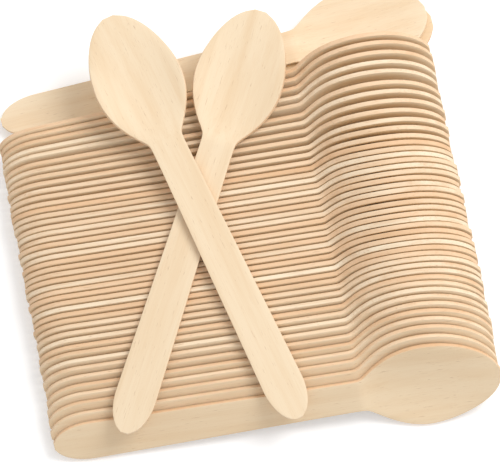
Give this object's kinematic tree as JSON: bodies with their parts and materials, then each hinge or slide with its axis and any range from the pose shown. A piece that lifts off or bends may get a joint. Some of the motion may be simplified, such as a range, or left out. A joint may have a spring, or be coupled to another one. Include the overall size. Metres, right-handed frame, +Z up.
{
  "type": "wooden cutlery pack",
  "caption": "Pack of loose disposable birch spoons: a leaning row of spoons on edge, some fallen flat behind it and a crossed pair on top.",
  "frame": {"origin": "on the table, under the middle of the pack's bounding box", "axes": "+Z up; the spoons lie along X with their bowls at +X; the front of the row is at -Y"},
  "size_m": [0.1676, 0.1634, 0.0319],
  "materials": {
    "birch_veneer": "sanded, unvarnished"
  },
  "bodies": {
    "root": {"row_spoon_01": "birch_veneer", "row_spoon_02": "birch_veneer", "row_spoon_03": "birch_veneer", "row_spoon_04": "birch_veneer", "row_spoon_05": "birch_veneer", "row_spoon_06": "birch_veneer", "row_spoon_07": "birch_veneer", "row_spoon_08": "birch_veneer", "row_spoon_09": "birch_veneer", "row_spoon_10": "birch_veneer", "row_spoon_11": "birch_veneer", "row_spoon_12": "birch_veneer", "row_spoon_13": "birch_veneer", "row_spoon_14": "birch_veneer", "row_spoon_15": "birch_veneer", "row_spoon_16": "birch_veneer", "row_spoon_17": "birch_veneer", "row_spoon_18": "birch_veneer", "row_spoon_19": "birch_veneer", "row_spoon_20": "birch_veneer", "row_spoon_21": "birch_veneer", "row_spoon_22": "birch_veneer", "row_spoon_23": "birch_veneer", "row_spoon_24": "birch_veneer", "row_spoon_25": "birch_veneer", "row_spoon_26": "birch_veneer", "row_spoon_27": "birch_veneer", "row_spoon_28": "birch_veneer", "row_spoon_29": "birch_veneer", "row_spoon_30": "birch_veneer", "row_spoon_31": "birch_veneer", "row_spoon_32": "birch_veneer", "row_spoon_33": "birch_veneer", "row_spoon_34": "birch_veneer", "row_spoon_35": "birch_veneer", "row_spoon_36": "birch_veneer", "row_spoon_37": "birch_veneer", "row_spoon_38": "birch_veneer", "row_spoon_39": "birch_veneer", "row_spoon_40": "birch_veneer", "row_spoon_41": "birch_veneer", "row_spoon_42": "birch_veneer", "row_spoon_43": "birch_veneer", "row_spoon_44": "birch_veneer", "row_spoon_45": "birch_veneer", "fallen_spoon_upper": "birch_veneer", "fallen_spoon_lower": "birch_veneer", "crossed_spoon_lower": "birch_veneer", "crossed_spoon_upper": "birch_veneer"}
  },
  "joints": []
}
